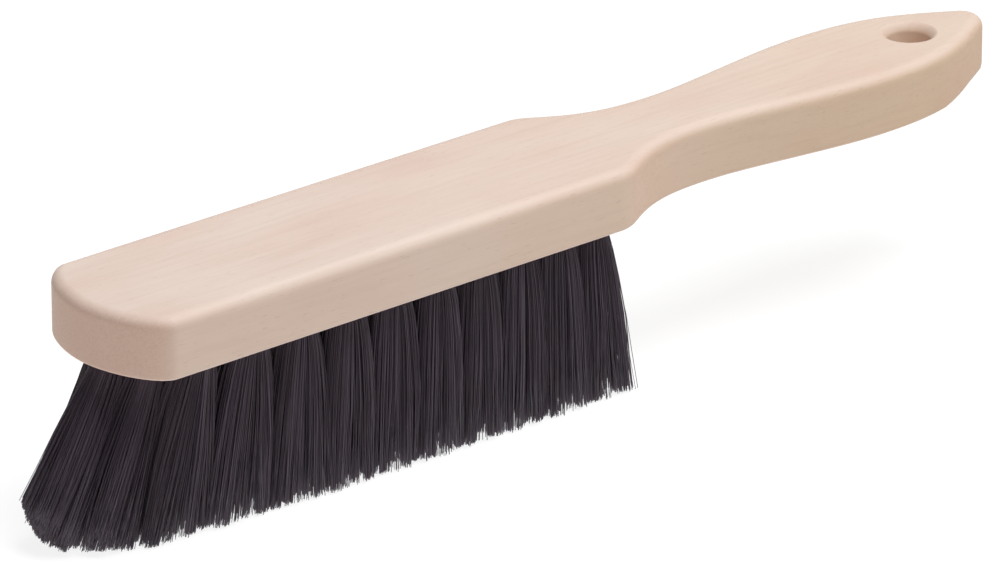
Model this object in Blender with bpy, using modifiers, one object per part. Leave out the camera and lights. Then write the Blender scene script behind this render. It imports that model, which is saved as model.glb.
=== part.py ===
"""Hand brush: a one-piece beech stock with bristle tufts set in blind holes in its underside.

Metres, +Z up. +X runs from the toe to the handle tip, and Y is across the brush.
The brush stands on its bristle tips at z = 0, and the origin is the middle of its footprint box.
"""
import math

import bmesh
import bpy
from mathutils import Vector

# Driving dimensions ---------------------------------------------------------------------------
LENGTH = 0.290                # stock, from the toe to the handle tip
HALF_WIDTH = 0.0228           # half the width of the block
THICKNESS = 0.0150            # stock, planed to one thickness
BRISTLE_LENGTH = 0.0465       # from the underside of the stock to the trimmed ends
TOP_ROUND = 0.0030            # rounding of the upper edge
BOTTOM_EASE = 0.0008          # rounding of the lower edge
TIP_EASE = 0.0030             # the lower edge is rounder at the handle tip
TIP_EASE_START = 0.266        # from the toe
TIP_EASE_RUN = 0.014
EDGE_SEGMENTS = 4             # across each rounded edge

TOE_DEPTH = 0.0114            # from the end of the toe to where the sides run straight
TOE_POWER = 1.75              # 2 is an ellipse, less is straighter across the corners
TIP_RADIUS = 0.0055           # blunt end of the handle
TIP_ANGLE = math.radians(60)  # half of the arc that rounds the tip

# Half widths along the stock: distance from the toe, half width, slope
SIDE_STATIONS = (
    (TOE_DEPTH, HALF_WIDTH, 0.0),
    (0.1510, HALF_WIDTH, 0.0),
    (0.1580, 0.0203, -0.62),
    (0.1665, 0.0157, -0.43),
    (0.1880, 0.0122, 0.0),
    (0.2150, 0.0151, 0.14),
    (0.2430, 0.0179, 0.0),
    (0.2640, 0.0157, -0.25),
    (0.2770, 0.0106, -0.50),
)
STEP_LENGTH = 0.0040          # longest step along a curved side
STRAIGHT_LIMIT = 0.1          # a station gap longer than this is one straight run
TOE_STEPS = 9
TIP_STEPS = 4

HANG_HOLE_X = 0.2665          # from the toe
HANG_HOLE_RADIUS = 0.0055
HANG_RIM_WIDTH = 0.0018       # the bore flares by this much at each face
HANG_RIM_DEPTH = 0.0022
HANG_RIM_POWER = 1.3          # 1 is a straight countersink, 2 is a rounded rim
HANG_RIM_STEPS = 4
HANG_TURN_STEPS = 32

TUFT_HOLE_RADIUS = 0.0040
TUFT_HOLE_DEPTH = 0.0110
FIT_GAP = 0.0003              # between a tuft and its hole
TUFT_NECK_RADIUS = 0.0046     # where the fibres spring out below the stock
TUFT_NECK_DROP = 0.0022
MIDDLE_SHARE = 0.30           # height of a tuft's middle ring, from its neck to its end
MIDDLE_SPREAD = 0.38          # how far the tuft has spread there
TUFT_SIDES = 16               # divisible by 4, so that a ring reaches its full half axes

# Tuft layout, measured from the toe
OUTER_ROW_Y = 0.0145
OUTER_ROW_START = 0.0238
OUTER_ROW_COUNT = 10
OUTER_PITCH_TOE = 0.01540     # the drilling pitch closes up towards the handle
OUTER_PITCH_HEEL = 0.01200
TOE_TUFT_X = 0.0090
TOE_PAIR_X = 0.0152
TOE_PAIR_Y = 0.0087
SECOND_TUFT_X = 0.0214
TOE_TUFT_ROOM = 0.0036        # half the length of row that each tuft of the toe fills
TOE_OVERLAP = 0.0014          # less room behind the first tuft, where the pair stands beside it

# Trimmed ends: each tuft spreads until it meets its neighbours
END_POWER = 2.8               # 2 is an ellipse, more is squarer
END_GAP = 0.0006              # between the trimmed ends of two neighbours
ROW_ROOM = 0.0069             # half the width that a tuft of the middle row fills
SIDE_REACH = 0.0195           # from the middle of the brush to the outside of the trimmed ends
TOE_NARROWING = 0.0028        # less reach at the sides near the toe
NARROWING_RUN = 0.0250        # the narrowing falls off over this length
TOE_PAIR_REACH = 0.0138
SECOND_ROOM = 0.0060
TOE_FLARE = 0.0190            # how far the trimmed ends stand out past the roots
TOE_FLARE_REACH = 0.0185      # the flare falls off over this length
HEEL_FLARE = 0.0036
HEEL_FLARE_START = 0.1150

# The ends are level up to a line round the toe, past which the cut rises
TRIM_START = 0.0100           # from the toe to that line, in the middle
TRIM_BEND = 60.0              # the line bends back by this times the distance across, squared
TRIM_RISE = 0.0090            # height of the cut at TRIM_RUN past the line
TRIM_RUN = 0.0058
TRIM_POWER = 1.7

SAME_POINT = 0.00001          # vertices closer than this are merged
FLAT_ANGLE = math.radians(0.2)  # edges between faces flatter than this are dissolved
STOCK_SHARP = math.radians(30)
TUFT_SHARP = math.radians(40)

WOOD_COLOUR = (0.78, 0.63, 0.52, 1.0)
BRISTLE_COLOUR = (0.022, 0.019, 0.023, 1.0)


# Scene helpers ----------------------------------------------------------------------------------
def clear_scene():
    for thing in list(bpy.data.objects):
        bpy.data.objects.remove(thing, do_unlink=True)


def new_collection(name):
    collection = bpy.data.collections.new(name)
    bpy.context.scene.collection.children.link(collection)
    return collection


def principled(name, colour, roughness):
    material = bpy.data.materials.new(name)
    material.use_nodes = True
    shader = material.node_tree.nodes["Principled BSDF"]
    shader.inputs["Base Color"].default_value = colour
    shader.inputs["Roughness"].default_value = roughness
    shader.inputs["Metallic"].default_value = 0.0
    return material


def add_object(name, mesh, collection):
    thing = bpy.data.objects.new(name, mesh)
    collection.objects.link(thing)
    return thing


def mesh_from(name, body):
    """Turn a bmesh into a mesh and free it."""
    mesh = bpy.data.meshes.new(name)
    body.to_mesh(mesh)
    body.free()
    return mesh


# Outline of the stock, in plan, measured from the toe ----------------------------------------------
def hermite(start, end, share):
    """A point between two stations of the side, on a cubic with their slopes."""
    x0, y0, slope0 = start
    x1, y1, slope1 = end
    run = x1 - x0
    s2 = share * share
    s3 = s2 * share
    y = (2 * s3 - 3 * s2 + 1) * y0 + (s3 - 2 * s2 + share) * run * slope0
    y += (3 * s2 - 2 * s3) * y1 + (s3 - s2) * run * slope1
    return (x0 + share * run, y)


def toe_points():
    """A squashed arch from the middle of the toe to the straight side."""
    points = []
    for step in range(TOE_STEPS):
        angle = math.radians(90) * step / TOE_STEPS
        x = TOE_DEPTH * (1 - math.cos(angle) ** (2 / TOE_POWER))
        y = HALF_WIDTH * math.sin(angle) ** (2 / TOE_POWER)
        points.append((x, y))
    return points


def tip_points():
    """An arc from the last station's side round to the middle of the handle tip."""
    points = []
    for step in range(TIP_STEPS + 1):
        angle = TIP_ANGLE * (1 - step / TIP_STEPS)
        x = LENGTH - TIP_RADIUS + TIP_RADIUS * math.cos(angle)
        points.append((x, TIP_RADIUS * math.sin(angle)))
    return points


def side_points():
    """The side from the toe's arch to the start of the tip's arc."""
    tip_x, tip_y = tip_points()[0]
    tip_slope = -1 / math.tan(TIP_ANGLE)
    stations = SIDE_STATIONS + ((tip_x, tip_y, tip_slope),)
    points = []
    for start, end in zip(stations, stations[1:]):
        run = end[0] - start[0]
        steps = 1 if run > STRAIGHT_LIMIT else math.ceil(run / STEP_LENGTH)
        for step in range(steps):
            points.append(hermite(start, end, step / steps))
    return points


def stock_outline():
    """The whole outline, counter-clockwise seen from above, starting at the toe."""
    half = toe_points() + side_points() + tip_points()
    right = [(x, -y) for x, y in half]
    left = [(x, y) for x, y in reversed(half[1:-1])]
    return right + left


# Layout of the tufts -----------------------------------------------------------------------------
def outer_row():
    """Distances from the toe of the tufts in the two outer rows."""
    stations = [OUTER_ROW_START]
    gaps = OUTER_ROW_COUNT - 1
    for gap in range(gaps):
        share = gap / (gaps - 1)
        pitch = OUTER_PITCH_TOE + share * (OUTER_PITCH_HEEL - OUTER_PITCH_TOE)
        stations.append(stations[-1] + pitch)
    return stations


def tuft_roots():
    """Root of each tuft, with the start and end of the row it fills and its reach across."""
    outer = outer_row()
    middle = [(a + b) / 2 for a, b in zip(outer, outer[1:])]
    join = (SECOND_TUFT_X + middle[0]) / 2
    toe_start = TOE_TUFT_X - TOE_TUFT_ROOM
    toe_end = TOE_TUFT_X + TOE_TUFT_ROOM - TOE_OVERLAP
    roots = [(TOE_TUFT_X, 0.0, toe_start, toe_end, -ROW_ROOM, ROW_ROOM)]
    pair_end = TOE_PAIR_X + TOE_TUFT_ROOM
    for side in (-1, 1):
        roots.append((TOE_PAIR_X, side * TOE_PAIR_Y, toe_end, pair_end, 0.0, TOE_PAIR_REACH))
    roots.append((SECOND_TUFT_X, 0.0, pair_end, join, -SECOND_ROOM, SECOND_ROOM))
    starts = [join] + outer[1:]
    for x, start, end in zip(middle, starts, outer[1:]):
        roots.append((x, 0.0, start, end, -ROW_ROOM, ROW_ROOM))
    ends = [pair_end] + middle + [outer[-1] + (outer[-1] - outer[-2]) / 2]
    for side in (-1, 1):
        for x, start, end in zip(outer, ends, ends[1:]):
            roots.append((x, side * OUTER_ROW_Y, start, end, OUTER_ROW_Y - ROW_ROOM, side_reach(x)))
    return roots


def side_reach(x):
    return SIDE_REACH - TOE_NARROWING * math.exp(-(x - OUTER_ROW_START) / NARROWING_RUN)


def toe_share(x):
    """1 at the first tuft of the toe, falling off along the brush."""
    return math.exp(-(x - TOE_TUFT_X) / TOE_FLARE_REACH)


def flared(x):
    """Where a point x of the underside ends up at the trimmed ends."""
    heel = max(0.0, (x - HEEL_FLARE_START) / (outer_row()[-1] - HEEL_FLARE_START))
    return x + HEEL_FLARE * heel * heel - TOE_FLARE * toe_share(x)


# Pieces ------------------------------------------------------------------------------------------
def bottom_ease(x):
    """Rounding of the lower edge at a distance from the toe."""
    share = min(1.0, max(0.0, (x - TIP_EASE_START) / TIP_EASE_RUN))
    return BOTTOM_EASE + share * (TIP_EASE - BOTTOM_EASE)


def make_stock(outline, shift, collection, cutters, material):
    """Extrude the outline, round its edges, and cut the tuft holes and the hang hole."""
    curve = bpy.data.curves.new("stock_outline", "CURVE")
    curve.dimensions = "2D"
    curve.fill_mode = "BOTH"
    curve.extrude = THICKNESS / 2
    spline = curve.splines.new("POLY")
    spline.points.add(len(outline) - 1)
    for point, (x, y) in zip(spline.points, outline):
        point.co = (x - shift, y, 0.0, 1.0)
    spline.use_cyclic_u = True
    guide = add_object("stock_outline", curve, cutters)
    guide.location.z = BRISTLE_LENGTH + THICKNESS / 2
    bpy.context.view_layer.update()

    evaluated = guide.evaluated_get(bpy.context.evaluated_depsgraph_get())
    mesh = bpy.data.meshes.new_from_object(evaluated)
    mesh.name = "wooden_stock"
    stock = add_object("wooden_stock", mesh, collection)
    stock.matrix_world = guide.matrix_world.copy()
    bpy.data.objects.remove(guide, do_unlink=True)

    body = bmesh.new()
    body.from_mesh(mesh)
    bmesh.ops.remove_doubles(body, verts=body.verts, dist=SAME_POINT)
    bmesh.ops.dissolve_limit(body, angle_limit=FLAT_ANGLE, verts=body.verts, edges=body.edges)
    weights = body.edges.layers.float.new("bevel_weight_edge")
    for edge in body.edges:
        top = all(vert.co.z > 0 for vert in edge.verts)
        bottom = all(vert.co.z < 0 for vert in edge.verts)
        if top:
            edge[weights] = 1.0
        elif bottom:
            from_toe = shift + sum(vert.co.x for vert in edge.verts) / 2
            edge[weights] = bottom_ease(from_toe) / TOP_ROUND
    body.to_mesh(mesh)
    body.free()

    rounding = stock.modifiers.new("rounded_edges", "BEVEL")
    rounding.limit_method = "WEIGHT"
    rounding.width = TOP_ROUND
    rounding.segments = EDGE_SEGMENTS
    for cutter in (tuft_hole_cutter(shift, cutters), hang_hole_cutter(shift, cutters)):
        cut = stock.modifiers.new("cut_" + cutter.name, "BOOLEAN")
        cut.operation = "DIFFERENCE"
        cut.solver = "EXACT"
        cut.object = cutter
    mesh.materials.append(material)
    mesh.shade_smooth()
    mesh.set_sharp_from_angle(angle=STOCK_SHARP)
    return stock


def hide_cutter(cutter):
    cutter.hide_render = True
    cutter.display_type = "WIRE"
    return cutter


def tuft_hole_cutter(shift, collection):
    """One cylinder for each blind hole, reaching out below the stock."""
    overshoot = 0.002
    height = TUFT_HOLE_DEPTH + overshoot
    body = bmesh.new()
    for x, y, *_room in tuft_roots():
        made = bmesh.ops.create_cone(
            body,
            cap_ends=True,
            segments=TUFT_SIDES,
            radius1=TUFT_HOLE_RADIUS,
            radius2=TUFT_HOLE_RADIUS,
            depth=height,
        )
        centre = Vector((x - shift, y, BRISTLE_LENGTH + height / 2 - overshoot))
        bmesh.ops.translate(body, verts=made["verts"], vec=centre)
    return hide_cutter(add_object("tuft_holes", mesh_from("tuft_holes", body), collection))


def hang_hole_cutter(shift, collection):
    """A turned bore that flares at both faces of the handle."""
    overshoot = 0.001
    end = THICKNESS / 2 + overshoot
    upper = [(0.0, end), (HANG_HOLE_RADIUS + HANG_RIM_WIDTH, end)]
    for step in range(HANG_RIM_STEPS + 1):
        angle = math.radians(90) * (1 - step / HANG_RIM_STEPS)
        out = 1 - math.cos(angle) ** (2 / HANG_RIM_POWER)
        down = 1 - math.sin(angle) ** (2 / HANG_RIM_POWER)
        radius = HANG_HOLE_RADIUS + HANG_RIM_WIDTH * out
        upper.append((radius, THICKNESS / 2 - HANG_RIM_DEPTH * down))
    profile = upper + [(radius, -z) for radius, z in reversed(upper)]

    body = bmesh.new()
    verts = [body.verts.new((radius, 0.0, z)) for radius, z in profile]
    for first, second in zip(verts, verts[1:]):
        body.edges.new((first, second))
    cutter = add_object("hang_hole", mesh_from("hang_hole", body), collection)
    cutter.location = (HANG_HOLE_X - shift, 0.0, BRISTLE_LENGTH + THICKNESS / 2)
    turn = cutter.modifiers.new("turned", "SCREW")
    turn.axis = "Z"
    turn.steps = HANG_TURN_STEPS
    turn.render_steps = HANG_TURN_STEPS
    turn.use_merge_vertices = True
    turn.merge_threshold = SAME_POINT
    return hide_cutter(cutter)


def ring(body, centre, radius_x, radius_y, power=2.0):
    """A ring of vertices round a centre: an ellipse, or squarer with a higher power."""
    verts = []
    for side in range(TUFT_SIDES):
        angle = 2 * math.pi * side / TUFT_SIDES
        along = math.copysign(abs(math.cos(angle)) ** (2 / power), math.cos(angle))
        across = math.copysign(abs(math.sin(angle)) ** (2 / power), math.sin(angle))
        verts.append(body.verts.new(centre + Vector((radius_x * along, radius_y * across, 0.0))))
    return verts


def tuft_end(root):
    """Centre and half axes of the trimmed end of a tuft, seen from above."""
    _x, y, start, end, inner, outer = root
    radius_x = (flared(end) - flared(start) - END_GAP) / 2
    radius_y = (outer - inner - END_GAP) / 2
    middle_y = math.copysign((outer + inner) / 2, y)
    return Vector(((flared(end) + flared(start)) / 2, middle_y, 0.0)), radius_x, radius_y


def trim_height(x, y):
    """How high the trimmed ends are at a point, measured from the toe."""
    past = TRIM_BEND * y * y - TRIM_START - x
    return TRIM_RISE * (max(0.0, past) / TRIM_RUN) ** TRIM_POWER


def make_tuft(name, root, shift, collection, material):
    """A bundle of fibres, round in its hole and spreading to its trimmed end."""
    x, y = root[:2]
    end, end_x, end_y = tuft_end(root)
    moved = Vector((shift, 0.0, 0.0))
    top = Vector((x, y, BRISTLE_LENGTH + TUFT_HOLE_DEPTH - FIT_GAP))
    mouth = Vector((x, y, BRISTLE_LENGTH - FIT_GAP))
    neck = Vector((x, y, BRISTLE_LENGTH - TUFT_NECK_DROP))
    held = TUFT_HOLE_RADIUS - FIT_GAP
    middle = neck.lerp(end, MIDDLE_SHARE)
    middle_x = TUFT_NECK_RADIUS + MIDDLE_SPREAD * (end_x - TUFT_NECK_RADIUS)
    middle_y = TUFT_NECK_RADIUS + MIDDLE_SPREAD * (end_y - TUFT_NECK_RADIUS)
    middle_power = 2.0 + MIDDLE_SPREAD * (END_POWER - 2.0)
    body = bmesh.new()
    rings = [
        ring(body, top - moved, held, held),
        ring(body, mouth - moved, held, held),
        ring(body, neck - moved, TUFT_NECK_RADIUS, TUFT_NECK_RADIUS),
        ring(body, middle - moved, middle_x, middle_y, middle_power),
        ring(body, end - moved, end_x, end_y, END_POWER),
    ]
    for above, vert in zip(rings[3], rings[4]):
        height = trim_height(vert.co.x + shift, vert.co.y)
        vert.co.z = height
        above.co.z += height * MIDDLE_SHARE
    for upper, lower in zip(rings, rings[1:]):
        for side in range(TUFT_SIDES):
            after = (side + 1) % TUFT_SIDES
            body.faces.new((upper[side], lower[side], lower[after], upper[after]))
    body.faces.new(rings[0])
    cut = body.faces.new(list(reversed(rings[-1])))
    if any(vert.co.z > 0 for vert in rings[-1]):
        for vert in bmesh.ops.poke(body, faces=[cut])["verts"]:
            vert.co.z = trim_height(vert.co.x + shift, vert.co.y)
    bmesh.ops.recalc_face_normals(body, faces=body.faces)
    mesh = mesh_from(name, body)
    mesh.materials.append(material)
    mesh.shade_smooth()
    mesh.set_sharp_from_angle(angle=TUFT_SHARP)
    return add_object(name, mesh, collection)


def box_middle():
    """Middle of the brush along X: the toe bristles reach past the stock at one end only."""
    reaches = []
    for root in tuft_roots():
        centre, radius_x, _radius_y = tuft_end(root)
        reaches.append(centre.x - radius_x)
    return (min(reaches) + LENGTH) / 2


def build():
    clear_scene()
    parts = new_collection("hand_brush")
    cutters = new_collection("cutters")
    wood = principled("beech", WOOD_COLOUR, 0.55)
    shift = box_middle()
    make_stock(stock_outline(), shift, parts, cutters, wood)
    for index, root in enumerate(tuft_roots(), start=1):
        fibre = principled("bristle_%02d" % index, BRISTLE_COLOUR, 0.6)
        make_tuft("tuft_%02d" % index, root, shift, parts, fibre)


build()
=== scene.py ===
import math

import bmesh
import bpy
import numpy as np
from mathutils import Matrix, Vector


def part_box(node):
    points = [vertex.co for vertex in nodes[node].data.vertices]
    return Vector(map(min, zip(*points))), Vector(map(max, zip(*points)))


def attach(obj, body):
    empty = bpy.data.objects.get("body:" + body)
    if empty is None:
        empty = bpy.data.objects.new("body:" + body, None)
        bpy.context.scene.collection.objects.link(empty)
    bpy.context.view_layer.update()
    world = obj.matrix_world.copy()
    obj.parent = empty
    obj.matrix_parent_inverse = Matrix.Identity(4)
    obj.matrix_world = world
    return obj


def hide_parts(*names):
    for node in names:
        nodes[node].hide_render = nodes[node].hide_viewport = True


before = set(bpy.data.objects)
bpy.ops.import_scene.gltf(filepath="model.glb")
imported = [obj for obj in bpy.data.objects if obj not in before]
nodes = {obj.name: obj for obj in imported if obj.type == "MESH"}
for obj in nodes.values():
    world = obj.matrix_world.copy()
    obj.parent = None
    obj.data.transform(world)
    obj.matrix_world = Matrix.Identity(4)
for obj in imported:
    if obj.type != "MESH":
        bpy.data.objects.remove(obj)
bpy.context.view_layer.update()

# Stock, in metres, measured from the toe -------------------------------------------------------
LENGTH = 0.290
HALF_WIDTH = 0.0228
TOP_ROUND = 0.0030
BOTTOM_EASE = 0.0008
TIP_EASE = 0.0030             # the lower edge is rounder at the handle tip
TIP_EASE_START = 0.266
TIP_EASE_RUN = 0.014
TOE_DEPTH = 0.0114
TOE_POWER = 1.75
TIP_RADIUS = 0.0055
TIP_ANGLE = math.radians(60)

# Half widths along the stock: distance from the toe, half width, slope
SIDE_STATIONS = (
    (TOE_DEPTH, HALF_WIDTH, 0.0),
    (0.1510, HALF_WIDTH, 0.0),
    (0.1580, 0.0203, -0.62),
    (0.1665, 0.0157, -0.43),
    (0.1880, 0.0122, 0.0),
    (0.2150, 0.0151, 0.14),
    (0.2430, 0.0179, 0.0),
    (0.2640, 0.0157, -0.25),
    (0.2770, 0.0106, -0.50),
)
OUTLINE_STEP = 0.0012         # spacing of the points along the outline
OUTLINE_SAMPLES = 24          # points on each run before they are spaced evenly
TOP_SEGMENTS = 8
BOTTOM_SEGMENTS = 4
SUPPORT = 0.0004              # flat strip beside each rounding
SIDE_RINGS = 4                # on the flat of the side
EDGE_HIGHLIGHT = 0.15              # painted highlight on the rounded outer edges, where the rim of the hang hole is 1
# the hang hole's bore gets the full painted highlight
BORE_HIGHLIGHT = 1.0

HANG_HOLE_X = 0.2665
HANG_HOLE_RADIUS = 0.0055
HANG_RIM_WIDTH = 0.0018       # the bore flares by this much at each face
HANG_RIM_DEPTH = 0.0022
HANG_RIM_POWER = 1.3          # 1 is a straight countersink, 2 is a rounded rim
HANG_RIM_SEGMENTS = 8
HANG_SIDES = 56

TUFT_HOLE_RADIUS = 0.0040
TUFT_HOLE_DEPTH = 0.0110
TUFT_HOLE_CHAMFER = 0.0003
TUFT_HOLE_SIDES = 24
STOCK_SHARP = math.radians(38)

# Reading the CAD tufts
ROOT_ZONE = 0.0005            # points down to this far below the underside belong to the root
END_ZONE = 0.022              # points lower than this belong to the end
FULL_LEAN = 0.010             # a tuft leans fully if its end is this much nearer the toe
HEEL_ZONE = 0.012             # tufts this close to the heel of the bristles have a free side

# Fibres ---------------------------------------------------------------------------------------
FIBRES = 900                  # in each tuft
FIBRE_RADIUS = 0.000135
FIBRE_RADIUS_RANGE = (0.8, 1.2)
FIBRE_TIP_SHARE = 0.7         # radius at the tip, as a share of the radius at the root
FIBRE_STATIONS = (0.0, 0.02, 0.06, 0.15, 0.32, 0.55, 0.78, 1.0)
FIBRE_HELD = 0.0035           # how far up its hole each fibre is modelled
FIBRE_SIDES = 3
ROOT_FILL = 0.96              # share of the hole's radius that the fibres fill
LEAN_FILL_LOSS = 0.14         # a leaning tuft fills this much less
REACH_JITTER = 0.03
SPREAD_POWER = 0.30           # under 1, the tuft swells just below the stock
TOE_SPREAD_POWER = 1.0        # straight fibres on the outside of the fan
HEEL_SPREAD_POWER = 0.62      # the free side of the last tufts swells later
TIP_FILL = 1.28               # over 1, neighbouring tufts mingle at the tips
TIP_JITTER = 0.0004
TOE_EXTRA = 0.20              # the leaning fibres aim this much further out, and are cut short
END_POWER = 3.4               # 2 is an ellipse, more is squarer
WAVE = 0.00035
WAVE_RANGE = (0.3, 1.0)
WAVE_CYCLES = (0.5, 1.3)
STRAY_SHARE = 0.06
STRAY = 0.0008
LEAN_STRAY_LOSS = 0.7
CLUMPS = 26                   # in each tuft
CLUMP_JITTER = 0.0008
CLUMP_PULL = 0.40             # how far the fibres of a clump are drawn together at the tips
CLUMP_PULL_RANGE = (0.3, 1.0)
CLUMP_START = 0.58            # share of the length where the clumps begin
CLUMP_RAGGED = 0.0006         # how much shorter a whole clump may be
FIBRE_RAGGED = 0.0002
LOWEST_TIP = 0.0001           # each fibre's middle line ends at least this far above the cut
CLUMP_TINT = 0.60             # share of a fibre's tint that comes from its clump
CUT_STEPS = 14
GOLDEN_ANGLE = math.pi * (3 - math.sqrt(5))
FULL_TURN = 6.28              # radians, rounded

# The trimmed ends are level up to a line round the toe, past which the cut rises
TRIM_START = 0.0100
TRIM_BEND = 60.0
TRIM_RISE = 0.0090
TRIM_RUN = 0.0058
TRIM_POWER = 1.7

# Camera ---------------------------------------------------------------------------------------
CAMERA_AZIMUTH = math.radians(-40.18)
CAMERA_ELEVATION = math.radians(23.34)
CAMERA_DISTANCE = 2.5
CAMERA_LENS = 364.1
CAMERA_SENSOR = 36.0
CAMERA_CLIP_END = 50.0
CAMERA_RIGHT = -0.00432
CAMERA_UP = -0.00311
CAMERA_AIM = Vector((0.00014, 0.0, 0.0315))

# Studio ---------------------------------------------------------------------------------------
WORLD_STRENGTH = 0.15
KEY_POWER = 30.0
KEY_SIZE = 1.2
KEY_PLACE = (0.30, -0.35, 1.70)
KEY_TARGET = (0.0, 0.0, 0.04)
FLOOR_GLOW = 0.86
FLOOR_GREY = 0.22
FLOOR_RADIUS = 40.0
FLOOR_SIDES = 96
FLOOR_DROP = 0.0002           # below the bristle tips

stock_low, stock_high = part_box("wooden_stock")
SHIFT = LENGTH - stock_high.x
# The box takes in a stray disc under the CAD's hang hole, so this is 1 mm below the true underside
UNDERSIDE = stock_low.z
TOP = stock_high.z


# Mesh helpers ---------------------------------------------------------------------------------
def link(name, mesh):
    thing = bpy.data.objects.new(name, mesh)
    bpy.context.scene.collection.objects.link(thing)
    return thing


def hermite(start, end, share):
    x0, y0, slope0 = start
    x1, y1, slope1 = end
    run = x1 - x0
    s2 = share * share
    s3 = s2 * share
    y = (2 * s3 - 3 * s2 + 1) * y0 + (s3 - 2 * s2 + share) * run * slope0
    y += (3 * s2 - 2 * s3) * y1 + (s3 - s2) * run * slope1
    return (x0 + share * run, y)


def half_outline():
    """One side of the stock, from the middle of the toe to the middle of the tip."""
    points = []
    for step in range(4 * OUTLINE_SAMPLES):
        angle = math.radians(90) * step / (4 * OUTLINE_SAMPLES)
        x = TOE_DEPTH * (1 - math.cos(angle) ** (2 / TOE_POWER))
        points.append((x, HALF_WIDTH * math.sin(angle) ** (2 / TOE_POWER)))
    tip = []
    for step in range(OUTLINE_SAMPLES + 1):
        angle = TIP_ANGLE * (1 - step / OUTLINE_SAMPLES)
        x = LENGTH - TIP_RADIUS + TIP_RADIUS * math.cos(angle)
        tip.append((x, TIP_RADIUS * math.sin(angle)))
    stations = SIDE_STATIONS + ((tip[0][0], tip[0][1], -1 / math.tan(TIP_ANGLE)),)
    for start, end in zip(stations, stations[1:]):
        for step in range(OUTLINE_SAMPLES):
            points.append(hermite(start, end, step / OUTLINE_SAMPLES))
    return points + tip


def even_outline():
    """The whole outline with evenly spaced points, counter-clockwise seen from above."""
    half = np.array(half_outline())
    whole = np.vstack([half * (1, -1), half[::-1][1:-1]])
    whole = np.vstack([whole, whole[:1]])
    run = np.concatenate([[0.0], np.cumsum(np.linalg.norm(np.diff(whole, axis=0), axis=1))])
    count = int(run[-1] / OUTLINE_STEP)
    at = np.arange(count) * run[-1] / count
    points = np.column_stack([np.interp(at, run, whole[:, axis]) for axis in (0, 1)])
    points[:, 0] -= SHIFT
    return points


def inward(points):
    """Unit vectors that point into the outline."""
    along = np.roll(points, -1, 0) - np.roll(points, 1, 0)
    along /= np.linalg.norm(along, axis=1)[:, None]
    return np.column_stack([-along[:, 1], along[:, 0]])


def loop(body, points, heights):
    heights = np.broadcast_to(heights, len(points))
    return [body.verts.new((x, y, z)) for (x, y), z in zip(points, heights)]


def bridge(body, first, second):
    count = len(first)
    for index in range(count):
        after = (index + 1) % count
        body.faces.new((first[index], first[after], second[after], second[index]))


def loop_edges(body, verts):
    return [body.edges.get((a, b)) for a, b in zip(verts, verts[1:] + verts[:1])]


def circle(x, y, radius, sides):
    angles = np.arange(sides) * 2 * math.pi / sides
    return np.column_stack([x + radius * np.cos(angles), y + radius * np.sin(angles)])


def node_points(name):
    mesh = nodes[name].data
    points = np.empty(len(mesh.vertices) * 3)
    mesh.vertices.foreach_get("co", points)
    return np.unique(points.reshape(-1, 3).round(6), axis=0)


def tuft_shape(name):
    """Root centre, end centre and the end's half axes, seen from above, from the CAD tuft."""
    points = node_points(name)
    held = points[points[:, 2] > UNDERSIDE - ROOT_ZONE]
    root = (held[:, :2].min(0) + held[:, :2].max(0)) / 2
    end = points[points[:, 2] < END_ZONE][:, :2]
    low, high = end.min(0), end.max(0)
    return root, (low + high) / 2, (high - low) / 2


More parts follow.
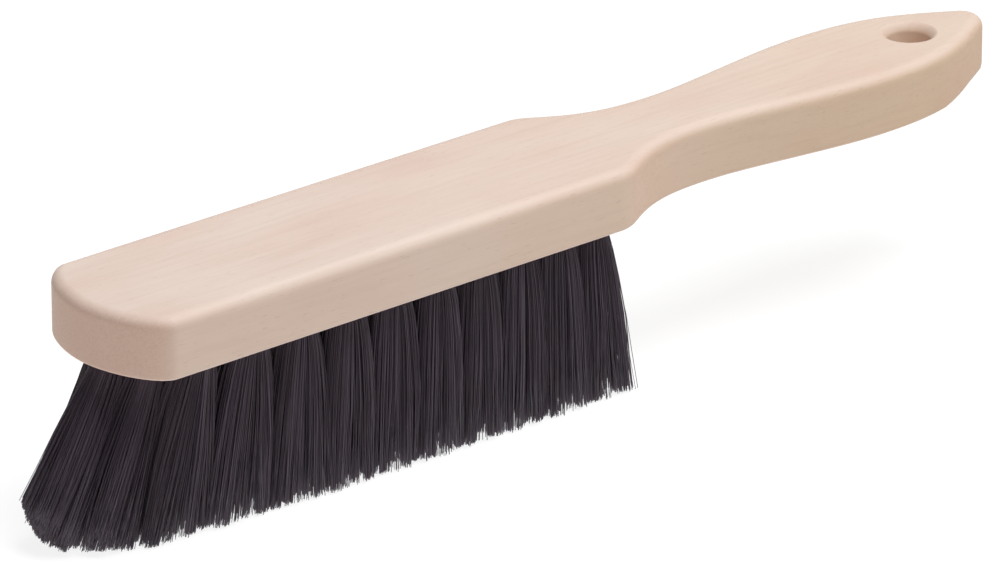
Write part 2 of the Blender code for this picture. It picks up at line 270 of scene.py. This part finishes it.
def build_stock():
    """The wooden stock with rounded edges, its hang hole and its tuft holes."""
    outline = even_outline()
    into = inward(outline)
    count = len(outline)
    at_tip = np.clip((outline[:, 0] + SHIFT - TIP_EASE_START) / TIP_EASE_RUN, 0, 1)
    ease = BOTTOM_EASE + (TIP_EASE - BOTTOM_EASE) * at_tip
    profile = [(np.full(count, TOP_ROUND + SUPPORT), np.full(count, TOP), 0.0)]
    for step in range(TOP_SEGMENTS + 1):
        angle = math.radians(90) * step / TOP_SEGMENTS
        inset = TOP_ROUND * (1 - math.sin(angle))
        height = TOP - TOP_ROUND * (1 - math.cos(angle))
        highlight = EDGE_HIGHLIGHT * math.sin(2 * angle)
        profile.append((np.full(count, inset), np.full(count, height), highlight))
    side_top = TOP - TOP_ROUND - SUPPORT
    side_bottom = UNDERSIDE + ease + SUPPORT
    for step in range(SIDE_RINGS):
        share = step / (SIDE_RINGS - 1)
        profile.append((np.zeros(count), side_top + share * (side_bottom - side_top), 0.0))
    for step in range(BOTTOM_SEGMENTS + 1):
        angle = math.radians(90) * step / BOTTOM_SEGMENTS
        inset = ease * (1 - math.cos(angle))
        height = UNDERSIDE + ease * (1 - math.sin(angle))
        profile.append((inset, height, EDGE_HIGHLIGHT * math.sin(2 * angle)))
    profile.append((ease + SUPPORT, np.full(count, UNDERSIDE), 0.0))

    body = bmesh.new()
    # painted highlight: how much lighter each vertex is painted, on the rounded edges and in the
    # hang hole
    painted_highlight = body.verts.layers.float.new("painted_highlight")
    rings = []
    for inset, height, highlight in profile:
        ring = loop(body, outline + into * inset[:, None], height)
        for vert in ring:
            vert[painted_highlight] = highlight
        rings.append(ring)
    for upper, lower in zip(rings, rings[1:]):
        bridge(body, lower, upper)

    hang_x = HANG_HOLE_X - SHIFT
    bore = [(HANG_HOLE_RADIUS + HANG_RIM_WIDTH + SUPPORT, TOP, 0.0)]
    for step in range(HANG_RIM_SEGMENTS + 1):
        angle = math.radians(90) * step / HANG_RIM_SEGMENTS
        out = 1 - abs(math.sin(angle)) ** (2 / HANG_RIM_POWER)
        down = 1 - abs(math.cos(angle)) ** (2 / HANG_RIM_POWER)
        radius = HANG_HOLE_RADIUS + HANG_RIM_WIDTH * out
        highlight = math.sin(2 * angle) if step < HANG_RIM_SEGMENTS else BORE_HIGHLIGHT
        bore.append((radius, TOP - HANG_RIM_DEPTH * down, highlight))
    middle = (TOP + UNDERSIDE) / 2
    lower_bore = [(radius, 2 * middle - z, highlight) for radius, z, highlight in reversed(bore)]
    hang = []
    for radius, z, highlight in bore + lower_bore:
        ring = loop(body, circle(hang_x, 0.0, radius, HANG_SIDES), z)
        for vert in ring:
            vert[painted_highlight] = highlight
        hang.append(ring)
    for upper, lower in zip(hang, hang[1:]):
        bridge(body, upper, lower)

    mouths = []
    for x, y in (tuft_shape(name)[0] for name in tuft_names):
        steps = (
            (TUFT_HOLE_RADIUS + TUFT_HOLE_CHAMFER, UNDERSIDE),
            (TUFT_HOLE_RADIUS, UNDERSIDE + TUFT_HOLE_CHAMFER),
            (TUFT_HOLE_RADIUS, UNDERSIDE + TUFT_HOLE_DEPTH),
        )
        hole = [loop(body, circle(x, y, radius, TUFT_HOLE_SIDES), z) for radius, z in steps]
        for lower, upper in zip(hole, hole[1:]):
            bridge(body, upper, lower)
        body.faces.new(list(reversed(hole[-1])))
        mouths.append(hole[0])

    top_edges = loop_edges(body, rings[0]) + loop_edges(body, hang[0])
    bmesh.ops.triangle_fill(body, use_beauty=True, edges=top_edges, normal=(0, 0, 1))
    low_edges = loop_edges(body, rings[-1]) + loop_edges(body, hang[-1])
    for mouth in mouths:
        low_edges += loop_edges(body, mouth)
    bmesh.ops.triangle_fill(body, use_beauty=True, edges=low_edges, normal=(0, 0, -1))
    bmesh.ops.recalc_face_normals(body, faces=body.faces)
    mesh = bpy.data.meshes.new("stock_wood")
    body.to_mesh(mesh)
    body.free()
    mesh.shade_smooth()
    mesh.set_sharp_from_angle(angle=STOCK_SHARP)
    return link("stock_wood", mesh)


# Tufts ----------------------------------------------------------------------------------------
def signed_power(values, power):
    return np.sign(values) * np.abs(values) ** power


def smooth_step(low, high, values):
    share = np.clip((values - low) / (high - low), 0, 1)
    return share * share * (3 - 2 * share)


def trim_height(points):
    """How high the trimmed ends are above the floor."""
    past = TRIM_BEND * points[:, 1] ** 2 - TRIM_START - (points[:, 0] + SHIFT)
    return TRIM_RISE * (np.maximum(past, 0) / TRIM_RUN) ** TRIM_POWER


def cut_share(start, target):
    """How much is left of each straight fibre once its end is trimmed."""
    low = np.zeros(len(start))
    high = np.ones(len(start))
    for _step in range(CUT_STEPS):
        middle = (low + high) / 2
        points = start + (target - start) * middle[:, None]
        above = UNDERSIDE * (1 - middle) > trim_height(points)
        low = np.where(above, middle, low)
        high = np.where(above, high, middle)
    return high


def squared(turn):
    """Points on the rim of a tuft's end, as shares of its half axes."""
    return np.column_stack([
        signed_power(np.cos(turn), 2 / END_POWER),
        signed_power(np.sin(turn), 2 / END_POWER),
    ])


def sunflower(count):
    """Even reaches and turns that fill a disc."""
    number = np.arange(count)
    return np.sqrt((number + 0.5) / count), number * GOLDEN_ANGLE


def fibre_paths(name, seed):
    """The points along each fibre of a tuft, from inside its hole to its trimmed tip."""
    rng = np.random.default_rng(seed)
    root, end, half = tuft_shape(name)
    lean = np.clip((root[0] - end[0]) / FULL_LEAN, 0, 1)
    end = root + (end - root) * (1 + TOE_EXTRA * lean)
    heel = 1.0 if name in heel_tufts else 0.0
    outward = (0.0, np.sign(root[1])) if abs(root[1]) > TUFT_HOLE_RADIUS else (-1.0, 0.0)

    reach, turn = sunflower(FIBRES)
    turn = turn + rng.uniform(0, FULL_TURN)
    reach = np.clip(reach + rng.normal(0, REACH_JITTER, FIBRES), 0, 1)
    at_root = np.column_stack([np.cos(turn), np.sin(turn)]) * reach[:, None]
    at_root *= TUFT_HOLE_RADIUS * (ROOT_FILL - LEAN_FILL_LOSS * lean)
    at_tip = squared(turn) * reach[:, None] * half * TIP_FILL
    at_tip += rng.normal(0, TIP_JITTER, at_tip.shape)

    clump_reach, clump_turn = sunflower(CLUMPS)
    clump_turn = clump_turn + rng.uniform(0, FULL_TURN)
    clumps = squared(clump_turn) * clump_reach[:, None] * half
    clumps += rng.normal(0, CLUMP_JITTER, clumps.shape)
    own = np.argmin(((at_tip[:, None] - clumps[None]) ** 2).sum(2), axis=1)
    clump_pull = rng.uniform(*CLUMP_PULL_RANGE, CLUMPS) * CLUMP_PULL
    clump_short = rng.uniform(0, CLUMP_RAGGED, CLUMPS)
    clump_tint = rng.uniform(0, 1, CLUMPS)

    sides = at_tip / half
    free = heel * np.clip(sides[:, :1], 0, 1)
    power = SPREAD_POWER + (HEEL_SPREAD_POWER - SPREAD_POWER) * free
    outer = lean * np.clip(sides @ np.array(outward), 0, 1)[:, None]
    power = power + (TOE_SPREAD_POWER - power) * outer
    short = clump_short[own] + np.abs(rng.normal(0, FIBRE_RAGGED, FIBRES)) + LOWEST_TIP
    cut = cut_share(root + at_root, end + at_tip)

    stray = rng.uniform(0, 1, FIBRES) < STRAY_SHARE
    stray_way = rng.normal(0, STRAY, (FIBRES, 2)) * stray[:, None] * (1 - LEAN_STRAY_LOSS * lean)
    phase = rng.uniform(0, FULL_TURN, (FIBRES, 2))
    cycles = rng.uniform(*WAVE_CYCLES, (FIBRES, 2))
    wave = rng.uniform(*WAVE_RANGE, (FIBRES, 1)) * WAVE

    rings = [np.column_stack([root + at_root, np.full(FIBRES, UNDERSIDE + FIBRE_HELD)])]
    for share in FIBRE_STATIONS:
        down = (share * cut)[:, None]
        spread = down ** power
        offset = at_root * (1 - spread) + at_tip * spread
        pull = clump_pull[own] * smooth_step(CLUMP_START, 1.0, np.array(share))
        offset = offset + (clumps[own] * down - offset) * pull[:, None]
        offset = offset + np.sin(phase + cycles * FULL_TURN * share) * wave * share
        offset = offset + stray_way * share ** 2
        centre = root + (end - root) * down
        z = UNDERSIDE * (1 - share * cut) + short * share
        rings.append(np.column_stack([centre + offset, z]))
    own_tint = rng.uniform(0, 1, FIBRES)
    tint = np.clip((1 - CLUMP_TINT) * own_tint + CLUMP_TINT * clump_tint[own], 0, 1)
    return np.stack(rings, axis=1), tint, rng


def tubes(name, paths, tint, rng):
    """A closed thin tube along each path."""
    count, rings = paths.shape[:2]
    along = np.gradient(paths, axis=1)
    along /= np.linalg.norm(along, axis=2)[:, :, None]
    side = np.cross(along, (0.0, 1.0, 0.0))
    side /= np.linalg.norm(side, axis=2)[:, :, None]
    other = np.cross(along, side)
    taper = np.linspace(1.0, FIBRE_TIP_SHARE, rings)
    radius = FIBRE_RADIUS * taper[None] * rng.uniform(*FIBRE_RADIUS_RANGE, count)[:, None]
    angles = np.arange(FIBRE_SIDES) * 2 * math.pi / FIBRE_SIDES
    turned = angles[None] + rng.uniform(0, FULL_TURN, count)[:, None]
    cosine = np.cos(turned)[:, None, :, None]
    sine = np.sin(turned)[:, None, :, None]
    verts = paths[:, :, None] + radius[:, :, None, None] * (
        cosine * side[:, :, None] + sine * other[:, :, None]
    )
    index = np.arange(count * rings * FIBRE_SIDES).reshape(count, rings, FIBRE_SIDES)
    after = np.roll(index, -1, axis=2)
    quads = np.stack([index[:, :-1], after[:, :-1], after[:, 1:], index[:, 1:]], axis=-1)
    quads = quads.reshape(-1, 4)
    first = index[:, 0, ::-1]
    last = index[:, -1]
    mesh = bpy.data.meshes.new(name)
    corners = np.concatenate([quads.ravel(), first.ravel(), last.ravel()])
    sizes = np.concatenate([np.full(len(quads), 4), np.full(2 * count, FIBRE_SIDES)])
    starts = np.concatenate([[0], np.cumsum(sizes)[:-1]])
    mesh.vertices.add(count * rings * FIBRE_SIDES)
    mesh.vertices.foreach_set("co", verts.reshape(-1).astype(np.float32))
    mesh.loops.add(len(corners))
    mesh.loops.foreach_set("vertex_index", corners.astype(np.int32))
    mesh.polygons.add(len(sizes))
    mesh.polygons.foreach_set("loop_start", starts.astype(np.int32))
    mesh.update(calc_edges=True)
    mesh.validate()
    layer = mesh.attributes.new("tint", "FLOAT", "POINT")
    layer.data.foreach_set("value", np.repeat(tint, rings * FIBRE_SIDES).astype(np.float32))
    mesh.shade_smooth()
    return link(name, mesh)


# Materials ------------------------------------------------------------------------------------
class Nodes:
    """Short calls for a material's nodes."""

    def __init__(self, name):
        self.material = bpy.data.materials.new(name)
        self.material.use_nodes = True
        self.tree = self.material.node_tree
        self.shader = self.tree.nodes["Principled BSDF"]

    def put(self, socket, value):
        if isinstance(value, bpy.types.NodeSocket):
            self.tree.links.new(value, socket)
        else:
            socket.default_value = value

    def node(self, kind, settings=None, **inputs):
        made = self.tree.nodes.new("ShaderNode" + kind)
        for key, value in (settings or {}).items():
            setattr(made, key, value)
        for key, value in inputs.items():
            self.put(made.inputs[key.replace("_", " ")], value)
        return made

    def maths(self, operation, first, second=0.0):
        made = self.node("Math", {"operation": operation})
        self.put(made.inputs[0], first)
        self.put(made.inputs[1], second)
        return made.outputs[0]

    def mix(self, share, first, second, blend="MIX"):
        made = self.node("Mix", {"data_type": "RGBA", "blend_type": blend})
        self.put(made.inputs[0], share)
        self.put(made.inputs[6], first)
        self.put(made.inputs[7], second)
        return made.outputs[2]

    def remap(self, value, low, high, to_low=0.0, to_high=1.0):
        made = self.node("MapRange", {"clamp": True})
        for socket, number in zip(made.inputs, (value, low, high, to_low, to_high)):
            self.put(socket, number)
        return made.outputs[0]

    def stretched(self, scale):
        """The piece's own coordinates, in metres, times a scale on each axis."""
        place = self.node("TexCoord").outputs["Object"]
        made = self.node("Mapping")
        self.put(made.inputs["Vector"], place)
        self.put(made.inputs["Scale"], scale)
        return made.outputs[0]

    def noise(self, scale, detail=3.0, roughness=0.5, distortion=0.0):
        made = self.node(
            "TexNoise", Scale=1.0, Detail=detail, Roughness=roughness, Distortion=distortion
        )
        self.put(made.inputs["Vector"], self.stretched(scale))
        return made.outputs["Fac"]


def beech():
    """Raw sanded beech: growth lines, flecks, a mottle, end grain where a face crosses it, painted
    shade on the upright sides and a painted highlight on the edges and in the hang hole.
    """
    n = Nodes("beech_wood")
    mottle = n.noise((22, 70, 70), detail=3.0)
    streak = n.noise((18, 650, 650), detail=4.0, roughness=0.6)
    fine = n.noise((90, 4200, 4200), detail=2.0)
    fleck = n.noise((330, 2600, 2600), detail=1.0)
    light = (0.824, 0.683, 0.600, 1)
    pink = (0.793, 0.622, 0.538, 1)
    dark = (0.680, 0.520, 0.432, 1)
    colour = n.mix(n.remap(mottle, 0.35, 0.68), light, pink)
    colour = n.mix(n.remap(streak, 0.48, 0.80, 0.0, 0.34), colour, dark)
    colour = n.mix(n.remap(fine, 0.50, 0.85, 0.0, 0.20), colour, dark)
    colour = n.mix(n.remap(fleck, 0.66, 0.76, 0.0, 0.26), colour, (0.50, 0.345, 0.255, 1))
    place = n.node("SeparateXYZ")
    n.put(place.inputs[0], n.node("TexCoord").outputs["Object"])
    facing = n.node("SeparateXYZ")
    n.put(facing.inputs[0], n.node("TexCoord").outputs["Normal"])
    end_grain = n.remap(n.maths("ABSOLUTE", facing.outputs[0]), 0.10, 1.0, 0.0, 0.60)
    pores = n.remap(n.noise((500, 1800, 1800), detail=2.0), 0.42, 0.66)
    end_colour = n.mix(pores, (0.83, 0.560, 0.455, 1), (0.72, 0.470, 0.375, 1))
    colour = n.mix(end_grain, colour, end_colour)
    # painted shade: faces that stand upright are darkened and browned, as if less lit than the top
    side_shade = n.remap(n.maths("ABSOLUTE", facing.outputs[2]), 0.75, 0.25)
    colour = n.mix(side_shade, colour, (0.905, 0.865, 0.815, 1), "MULTIPLY")
    handle = n.remap(place.outputs[0], -0.05, 0.11)
    # painted shade, deeper and yellower on the handle's sides
    colour = n.mix(n.maths("MULTIPLY", handle, side_shade), colour, (0.95, 0.93, 0.85, 1), "MULTIPLY")
    colour = n.mix(handle, colour, (0.985, 0.960, 0.915, 1), "MULTIPLY")
    # painted highlight: rounded edges, the hang hole's rim and its bore are painted paler, as if
    # lit more
    painted_highlight = n.node("Attribute", {"attribute_name": "painted_highlight"}).outputs["Fac"]
    colour = n.mix(n.maths("MULTIPLY", painted_highlight, 0.40), colour, (0.86, 0.72, 0.62, 1))
    n.put(n.shader.inputs["Base Color"], colour)
    rough = n.remap(n.noise((60, 900, 900), detail=3.0), 0.3, 0.7, 0.50, 0.66)
    n.put(n.shader.inputs["Roughness"], rough)
    n.put(n.shader.inputs["Specular IOR Level"], 0.35)
    height = n.maths("ADD", n.maths("MULTIPLY", fine, 0.6), n.maths("MULTIPLY", streak, 0.5))
    height = n.maths("SUBTRACT", height, n.remap(fleck, 0.66, 0.76, 0.0, 0.5))
    bump = n.node("Bump", Strength=0.25, Distance=0.00012)
    n.put(bump.inputs["Height"], height)
    n.put(n.shader.inputs["Normal"], bump.outputs[0])
    return n.material


def bristle():
    """Black fibre with a tint for each fibre and painted highlight streaks near the tips."""
    n = Nodes("black_bristle")
    tint = n.node("Attribute", {"attribute_name": "tint"}).outputs["Fac"]
    ramp = n.node("ValToRGB")
    n.put(ramp.inputs[0], tint)
    stops = (
        (0.0, (0.068, 0.051, 0.067, 1)),
        (0.45, (0.092, 0.069, 0.091, 1)),
        (0.75, (0.108, 0.084, 0.112, 1)),
        (0.95, (0.145, 0.117, 0.148, 1)),
    )
    line = ramp.color_ramp
    while len(line.elements) < len(stops):
        line.elements.new(0.5)
    for element, (place, colour) in zip(line.elements, stops):
        element.position = place
        element.color = colour
    along = n.noise((300, 300, 60), detail=2.0)
    colour = n.mix(n.remap(along, 0.35, 0.65, 0.0, 0.5), ramp.outputs[0], (0.092, 0.067, 0.086, 1))
    place = n.node("SeparateXYZ")
    n.put(place.inputs[0], n.node("TexCoord").outputs["Object"])
    # painted highlight: paler streaks low in the tufts, standing in for glints on bent clumps
    low = n.remap(place.outputs[2], 0.026, 0.006)
    streak = n.remap(n.noise((1300, 1300, 90), detail=1.0), 0.50, 0.66)
    painted_tip_highlight = n.maths("MULTIPLY", n.maths("MULTIPLY", low, streak), 0.60)
    colour = n.mix(painted_tip_highlight, colour, (0.160, 0.150, 0.170, 1))
    n.put(n.shader.inputs["Base Color"], colour)
    n.put(n.shader.inputs["Roughness"], n.remap(along, 0.3, 0.7, 0.38, 0.55))
    n.put(n.shader.inputs["Specular IOR Level"], 0.35)
    return n.material


def studio_floor():
    n = Nodes("studio_floor")
    n.put(n.shader.inputs["Base Color"], (FLOOR_GREY, FLOOR_GREY, FLOOR_GREY, 1))
    n.put(n.shader.inputs["Roughness"], 0.9)
    n.put(n.shader.inputs["Specular IOR Level"], 0.0)
    n.put(n.shader.inputs["Emission Color"], (1, 1, 1, 1))
    n.put(n.shader.inputs["Emission Strength"], FLOOR_GLOW)
    return n.material


# Stage ----------------------------------------------------------------------------------------
def build_floor():
    body = bmesh.new()
    bmesh.ops.create_circle(body, cap_ends=True, segments=FLOOR_SIDES, radius=FLOOR_RADIUS)
    mesh = bpy.data.meshes.new("floor")
    body.to_mesh(mesh)
    body.free()
    floor = link("floor", mesh)
    floor.location.z = -FLOOR_DROP
    mesh.materials.append(studio_floor())


def aim(thing, place, target):
    thing.location = place
    way = Vector(place) - Vector(target)
    thing.rotation_euler = way.to_track_quat("Z", "Y").to_euler()


def area_light(name, place, target, size, power):
    lamp = bpy.data.lights.new(name, "AREA")
    lamp.shape = "DISK"
    lamp.size = size
    lamp.energy = power
    thing = bpy.data.objects.new(name, lamp)
    bpy.context.scene.collection.objects.link(thing)
    aim(thing, place, target)


def build_camera():
    azimuth, elevation = CAMERA_AZIMUTH, CAMERA_ELEVATION
    away = Vector((
        math.sin(azimuth) * math.cos(elevation),
        -math.cos(azimuth) * math.cos(elevation),
        math.sin(elevation),
    ))
    right = Vector((math.cos(azimuth), math.sin(azimuth), 0.0))
    up = away.cross(right)
    target = CAMERA_AIM + right * CAMERA_RIGHT + up * CAMERA_UP
    lens = bpy.data.cameras.new("camera")
    lens.lens = CAMERA_LENS
    lens.sensor_width = CAMERA_SENSOR
    lens.clip_end = CAMERA_CLIP_END
    camera = bpy.data.objects.new("camera", lens)
    bpy.context.scene.collection.objects.link(camera)
    turn = Matrix((right, up, away)).transposed().to_4x4()
    camera.matrix_world = Matrix.Translation(target + away * CAMERA_DISTANCE) @ turn
    bpy.context.scene.camera = camera


def build_light():
    world = bpy.data.worlds.new("studio")
    world.use_nodes = True
    background = world.node_tree.nodes["Background"]
    background.inputs["Color"].default_value = (1, 1, 1, 1)
    background.inputs["Strength"].default_value = WORLD_STRENGTH
    bpy.context.scene.world = world
    area_light("key", KEY_PLACE, KEY_TARGET, KEY_SIZE, KEY_POWER)
    bpy.context.scene.view_settings.view_transform = "Standard"


tuft_names = sorted(name for name in nodes if name.startswith("tuft_"))
heel_start = max(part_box(name)[1].x for name in tuft_names) - HEEL_ZONE
heel_tufts = [name for name in tuft_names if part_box(name)[1].x > heel_start]

build_camera()
build_light()
build_floor()

wood = beech()
stock = build_stock()
stock.data.materials.append(wood)
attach(stock, "root")
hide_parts("wooden_stock")

fibre = bristle()
for seed, name in enumerate(tuft_names, start=1):
    paths, tint, rng = fibre_paths(name, seed)
    tuft = tubes("fibres_" + name, paths, tint, rng)
    tuft.data.materials.append(fibre)
    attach(tuft, "root")
    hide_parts(name)
